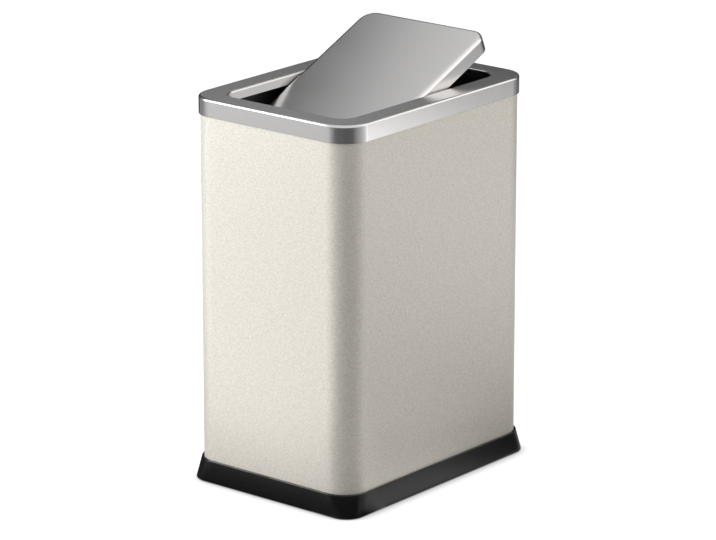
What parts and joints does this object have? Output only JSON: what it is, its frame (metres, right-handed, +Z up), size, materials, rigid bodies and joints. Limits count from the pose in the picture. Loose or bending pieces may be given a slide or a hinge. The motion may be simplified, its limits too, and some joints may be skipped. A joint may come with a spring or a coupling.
{
  "type": "flip lid trash can",
  "caption": "Rectangular bin with rounded corners, coated casing, black base, satin steel top frame, inner bucket and a counterweighted lid that swings about its middle.",
  "frame": {"origin": "middle of the footprint on the floor", "axes": "+Z up, X across the narrow front face, -Y out of the front face, +Y towards the back"},
  "size_m": [0.1698, 0.2338, 0.3563],
  "materials": {
    "casing_coat": "fine grained cream coating, satin",
    "base_plastic": "moulded, matte with a soft sheen",
    "bucket_plastic": "moulded, matte",
    "foot_rubber": "matte",
    "satin_steel": "satin stainless",
    "zinc_steel": "bright zinc plate",
    "weight_steel": "blackened bar",
    "bush_plastic": "natural moulding"
  },
  "bodies": {
    "bin": {"body_shell": "casing_coat", "base_tray": "base_plastic", "foot_front_left": "foot_rubber", "foot_front_right": "foot_rubber", "foot_back_left": "foot_rubber", "foot_back_right": "foot_rubber", "base_screws": "zinc_steel"},
    "bucket": {"inner_bucket": "bucket_plastic"},
    "top_cover": {"top_frame": "satin_steel", "pivot_plate_left": "zinc_steel", "pivot_plate_right": "zinc_steel", "pivot_bush_left": "bush_plastic", "pivot_bush_right": "bush_plastic"},
    "lid": {"lid_panel": "satin_steel", "lid_counterweight": "weight_steel", "weight_hanger_left": "zinc_steel", "weight_hanger_right": "zinc_steel", "weight_screws": "zinc_steel", "pivot_pin_left": "zinc_steel", "pivot_pin_right": "zinc_steel", "pin_clip_left": "zinc_steel", "pin_clip_right": "zinc_steel"}
  },
  "joints": [
    {"name": "frame_lift", "type": "slide", "parent": "bin", "child": "top_cover", "axis": [0, 0, 1], "range_m": [0, 0.42]},
    {"name": "bucket_lift", "type": "slide", "parent": "bin", "child": "bucket", "axis": [0, 0, 1], "range_m": [0, 0.336]},
    {"name": "lid_swing", "type": "hinge", "parent": "top_cover", "child": "lid", "pos_m": [0, 0, 0.313], "axis": [1, 0, 0], "range_deg": [-93.5, 46.5]}
  ],
  "couplings": [
    {"joint": "bucket_lift", "follows": "frame_lift", "ratio": 0.8}
  ]
}
